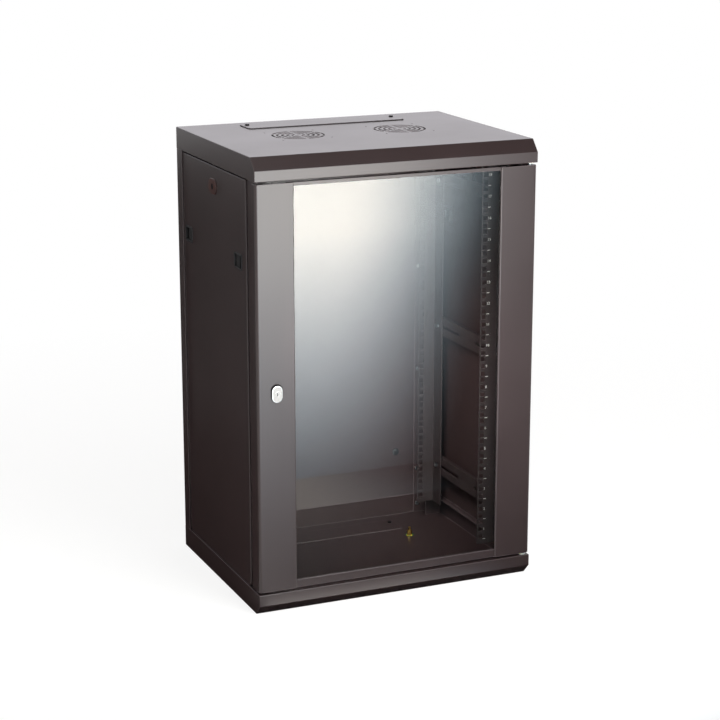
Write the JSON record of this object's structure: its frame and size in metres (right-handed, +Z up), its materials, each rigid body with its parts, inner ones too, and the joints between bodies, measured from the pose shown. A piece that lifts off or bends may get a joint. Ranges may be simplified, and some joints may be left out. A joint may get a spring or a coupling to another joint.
{
  "type": "rack cabinet",
  "caption": "Wall-mount 19-inch rack cabinet with a framed glass front door, removable latched side panels, depth-adjustable rails, fan grilles and a cable entry.",
  "frame": {"origin": "bottom centre of the cabinet's box", "axes": "+X to the viewer's right at the door, +Y to the back wall, +Z up"},
  "size_m": [0.6, 0.4634, 0.9196],
  "materials": {
    "powder_coat": "semi-gloss dark brown-black powder coat",
    "rail_coat": "satin black powder coat",
    "zinc_steel": "zinc-plated steel",
    "black_steel": "black oxide steel",
    "chrome": "polished chrome on die-cast zinc",
    "lock_coat": "dark painted die-cast zinc",
    "glass": "clear tempered glass with polished edges",
    "rubber": "black extruded rubber",
    "black_plastic": "black moulded nylon",
    "nylon": "natural moulded nylon",
    "brass": "yellow-passivated stud and nuts"
  },
  "bodies": {
    "cabinet": {"top_cover": "powder_coat", "bottom_cover": "powder_coat", "rear_panel": "powder_coat", "top_cable_cover": "powder_coat", "bottom_cable_cover": "powder_coat", "left_front_post": "powder_coat", "left_rear_post": "powder_coat", "right_front_post": "powder_coat", "right_rear_post": "powder_coat", "left_lower_bracket": "rail_coat", "left_middle_bracket": "rail_coat", "left_upper_bracket": "rail_coat", "right_lower_bracket": "rail_coat", "right_middle_bracket": "rail_coat", "right_upper_bracket": "rail_coat", "bracket_bolts": "zinc_steel", "frame_screws": "zinc_steel", "rear_panel_screws": "zinc_steel", "cable_cover_screws": "black_steel", "hinge_bushes": "nylon", "earth_stud": "brass"},
    "door": {"door_left_profile": "powder_coat", "door_right_profile": "powder_coat", "door_top_rail": "powder_coat", "door_bottom_rail": "powder_coat", "door_glass": "glass", "glass_gaskets": "rubber", "glass_retainers": "powder_coat", "upper_hinge_block": "powder_coat", "lower_hinge_block": "powder_coat", "lower_hinge_pin": "zinc_steel", "hinge_spring": "zinc_steel", "lock_body": "chrome", "lock_gasket": "rubber", "lock_nut": "zinc_steel"},
    "door_lock_core": {"lock_plug": "chrome", "lock_cam": "zinc_steel"},
    "upper_pin": {"upper_hinge_pin": "zinc_steel"},
    "left_panel": {"left_side_panel": "powder_coat", "left_latch_housings": "black_plastic", "left_side_lock": "lock_coat"},
    "left_panel_lock_core": {"left_side_lock_cam": "black_steel"},
    "left_front_latch": {"left_front_latch_slider": "black_plastic"},
    "left_front_rail_set": {"left_front_rail": "rail_coat", "left_front_rail_bolts": "zinc_steel"},
    "left_rear_latch": {"left_rear_latch_slider": "black_plastic"},
    "left_rear_rail_set": {"left_rear_rail": "rail_coat", "left_rear_rail_bolts": "zinc_steel"},
    "right_panel": {"right_side_panel": "powder_coat", "right_latch_housings": "black_plastic", "right_side_lock": "lock_coat"},
    "right_panel_lock_core": {"right_side_lock_cam": "black_steel"},
    "right_front_latch": {"right_front_latch_slider": "black_plastic"},
    "right_front_rail_set": {"right_front_rail": "rail_coat", "right_front_rail_bolts": "zinc_steel"},
    "right_rear_latch": {"right_rear_latch_slider": "black_plastic"},
    "right_rear_rail_set": {"right_rear_rail": "rail_coat", "right_rear_rail_bolts": "zinc_steel"}
  },
  "joints": [
    {"name": "door_hinge", "type": "hinge", "parent": "cabinet", "child": "door", "pos_m": [0.289, -0.217, 0.4575], "axis": [0, 0, 1], "range_deg": [0, 180]},
    {"name": "door_lock_turn", "type": "hinge", "parent": "door", "child": "door_lock_core", "pos_m": [-0.259, -0.229, 0.455], "axis": [0, 1, 0], "range_deg": [0, 90]},
    {"name": "upper_pin_pull", "type": "slide", "parent": "door", "child": "upper_pin", "axis": [0, 0, -1], "range_m": [0, 0.0105], "stiffness_N_per_m": 400, "springref_m": -0.006, "deforming": ["hinge_spring"]},
    {"name": "left_panel_off", "type": "slide", "parent": "cabinet", "child": "left_panel", "axis": [-1, 0, 0], "range_m": [0, 0.12]},
    {"name": "left_panel_lock_turn", "type": "hinge", "parent": "left_panel", "child": "left_panel_lock_core", "pos_m": [-0.2975, 0.01125, 0.825], "axis": [-1, 0, 0], "range_deg": [0, 180]},
    {"name": "left_front_latch_slide", "type": "slide", "parent": "left_panel", "child": "left_front_latch", "axis": [0, -1, 0], "range_m": [0, 0.008]},
    {"name": "left_rear_latch_slide", "type": "slide", "parent": "left_panel", "child": "left_rear_latch", "axis": [0, 1, 0], "range_m": [0, 0.008]},
    {"name": "left_front_rail_depth", "type": "slide", "parent": "cabinet", "child": "left_front_rail_set", "axis": [0, 1, 0], "range_m": [-0.035, 0.08]},
    {"name": "left_rear_rail_depth", "type": "slide", "parent": "cabinet", "child": "left_rear_rail_set", "axis": [0, 1, 0], "range_m": [-0.1, 0.02]},
    {"name": "right_panel_off", "type": "slide", "parent": "cabinet", "child": "right_panel", "axis": [1, 0, 0], "range_m": [0, 0.12]},
    {"name": "right_panel_lock_turn", "type": "hinge", "parent": "right_panel", "child": "right_panel_lock_core", "pos_m": [0.2975, 0.01125, 0.825], "axis": [1, 0, 0], "range_deg": [0, 180]},
    {"name": "right_front_latch_slide", "type": "slide", "parent": "right_panel", "child": "right_front_latch", "axis": [0, -1, 0], "range_m": [0, 0.008]},
    {"name": "right_rear_latch_slide", "type": "slide", "parent": "right_panel", "child": "right_rear_latch", "axis": [0, 1, 0], "range_m": [0, 0.008]},
    {"name": "right_front_rail_depth", "type": "slide", "parent": "cabinet", "child": "right_front_rail_set", "axis": [0, 1, 0], "range_m": [-0.035, 0.08]},
    {"name": "right_rear_rail_depth", "type": "slide", "parent": "cabinet", "child": "right_rear_rail_set", "axis": [0, 1, 0], "range_m": [-0.1, 0.02]}
  ]
}
